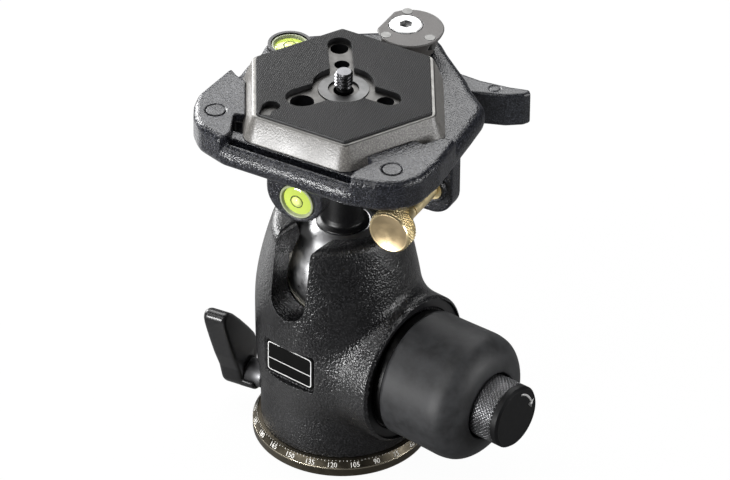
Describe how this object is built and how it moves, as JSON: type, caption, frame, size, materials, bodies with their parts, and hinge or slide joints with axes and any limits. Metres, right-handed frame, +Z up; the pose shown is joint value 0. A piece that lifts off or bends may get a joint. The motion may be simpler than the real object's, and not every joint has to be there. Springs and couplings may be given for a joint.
{
  "type": "tripod ball head",
  "caption": "Ball head for a tripod: bell-shaped housing with a front notch, side lock knob, pan lock lever and a hexagonal quick-release plate with cam lever.",
  "frame": {"origin": "middle of the base's underside, on the pan axis", "axes": "+Z up along the pan axis, +X along the ball lock knob, -Y toward the front notch"},
  "size_m": [0.1235, 0.1044, 0.1481],
  "materials": {
    "housing_coat": "coarse wrinkle powder coat, black",
    "neck_coat": "satin black",
    "head_coat": "fine-grained powder coat, dark blue grey",
    "lever_coat": "fine-grained powder coat, dark grey",
    "pan_lever_coat": "satin black",
    "base_anodised": "bronze anodised, turned",
    "ball_polish": "polished, dark anodised",
    "plate_casting": "fine cast",
    "cam_casting": "satin",
    "pad_rubber": "fine cross-hatched",
    "knob_rubber": "matt",
    "knob_core": "black anodised",
    "friction_plastic": "satin",
    "black_trim": "satin black",
    "vial": "clear, yellow-green liquid",
    "brass": "turned",
    "steel": "turned",
    "bright_steel": "bright",
    "machined": "turned",
    "seal": "smooth",
    "liner": "smooth, low friction"
  },
  "bodies": {
    "base": {"base_ring": "base_anodised", "pan_shaft": "machined", "base_screws": "steel", "pan_washer": "liner", "pan_retaining_ring": "steel"},
    "housing": {"housing": "housing_coat", "housing_floor": "machined", "floor_screws": "steel", "hydraulic_block": "machined", "upper_seat": "liner", "label_plate": "black_trim", "boss_ring": "black_trim", "spindle_bush": "brass", "oil_plug": "steel"},
    "pan_lever": {"pan_lock_lever": "pan_lever_coat", "pan_lock_hub": "steel", "pan_lock_cap": "steel", "pan_lock_spindle": "steel"},
    "pan_shoe": {"pan_brake_shoe": "brass"},
    "lock_knob": {"knob_core": "knob_core", "knob_grip": "knob_rubber", "knob_grub_screws": "steel", "lock_spindle": "steel", "friction_spring": "steel"},
    "friction_knob": {"friction_knob": "friction_plastic", "friction_spindle": "steel"},
    "master": {"master_piston": "machined", "master_piston_seal": "seal"},
    "brake": {"brake_cup": "liner", "brake_piston": "machined", "brake_piston_seal": "seal"},
    "liner": {"ball_liner": "liner"},
    "ball": {"ball": "ball_polish", "neck": "neck_coat", "neck_stud": "steel"},
    "head": {"qr_hub": "neck_coat", "hub_bolts": "steel", "qr_body": "head_coat", "front_level_vial": "vial", "top_level_vial": "vial", "top_level_ring": "black_trim", "hex_plate": "plate_casting", "rubber_pad": "pad_rubber", "screw_ring": "bright_steel", "cam_spring": "steel", "plunger_sleeve": "brass", "plunger_spring": "steel"},
    "camera_screw": {"camera_screw": "bright_steel"},
    "cam": {"cam_disc": "cam_casting", "cam_pins": "bright_steel", "cam_screw": "bright_steel", "cam_shaft": "steel", "cam_lever": "lever_coat"},
    "plunger": {"safety_knob": "brass", "plunger_rod": "steel"},
    "catch": {"catch_pin": "steel"}
  },
  "joints": [
    {"name": "pan", "type": "hinge", "parent": "base", "child": "housing", "pos_m": [0, 0, 0.0063], "axis": [0, 0, 1], "continuous": true},
    {"name": "pan_lock", "type": "hinge", "parent": "housing", "child": "pan_lever", "pos_m": [-0.03521, -0.00749, 0.011], "axis": [-0.9781, -0.2079, 0], "range_deg": [0, 90]},
    {"name": "pan_shoe_slide", "type": "slide", "parent": "housing", "child": "pan_shoe", "axis": [0.9781, 0.2079, 0], "range_m": [0, 0.0003]},
    {"name": "ball_lock", "type": "hinge", "parent": "housing", "child": "lock_knob", "pos_m": [0.05, 0, 0.0385], "axis": [-1, 0, 0], "range_deg": [0, 270]},
    {"name": "friction_set", "type": "hinge", "parent": "lock_knob", "child": "friction_knob", "pos_m": [0.07, 0, 0.0385], "axis": [-1, 0, 0], "range_deg": [0, 300]},
    {"name": "master_slide", "type": "slide", "parent": "housing", "child": "master", "axis": [-1, 0, 0], "range_m": [0, 0.002]},
    {"name": "brake_slide", "type": "slide", "parent": "housing", "child": "brake", "axis": [0, 0, 1], "range_m": [0, 0.00025]},
    {"name": "side_tilt", "type": "hinge", "parent": "housing", "child": "liner", "pos_m": [0, 0, 0.0695], "axis": [0, 1, 0], "range_deg": [-16, 16]},
    {"name": "front_tilt", "type": "hinge", "parent": "liner", "child": "ball", "pos_m": [0, 0, 0.0695], "axis": [1, 0, 0], "range_deg": [-16, 90]},
    {"name": "head_spin", "type": "hinge", "parent": "ball", "child": "head", "pos_m": [0, 0, 0.11], "axis": [0, 0, 1], "continuous": true},
    {"name": "camera_screw_turn", "type": "hinge", "parent": "head", "child": "camera_screw", "pos_m": [0, 0, 0.14], "axis": [0, 0, 1], "continuous": true},
    {"name": "cam_turn", "type": "hinge", "parent": "head", "child": "cam", "pos_m": [-0.00718, 0.0429, 0.125], "axis": [0, 0, 1], "range_deg": [0, 90], "stiffness_Nm_per_rad": 0.03, "springref_deg": -28.65},
    {"name": "catch_pull", "type": "slide", "parent": "head", "child": "plunger", "axis": [0.165, -0.9863, 0], "range_m": [0, 0.0025], "stiffness_N_per_m": 400, "springref_m": -0.003},
    {"name": "catch_drop", "type": "slide", "parent": "head", "child": "catch", "axis": [0, 0, 1], "range_m": [-0.0017, 0]}
  ],
  "couplings": [
    {"joint": "pan_shoe_slide", "follows": "pan_lock", "m_per_rad": 0.00019},
    {"joint": "master_slide", "follows": "ball_lock", "m_per_rad": 0.000424},
    {"joint": "brake_slide", "follows": "ball_lock", "m_per_rad": 0.000053},
    {"joint": "catch_drop", "follows": "catch_pull", "ratio": -0.68}
  ]
}
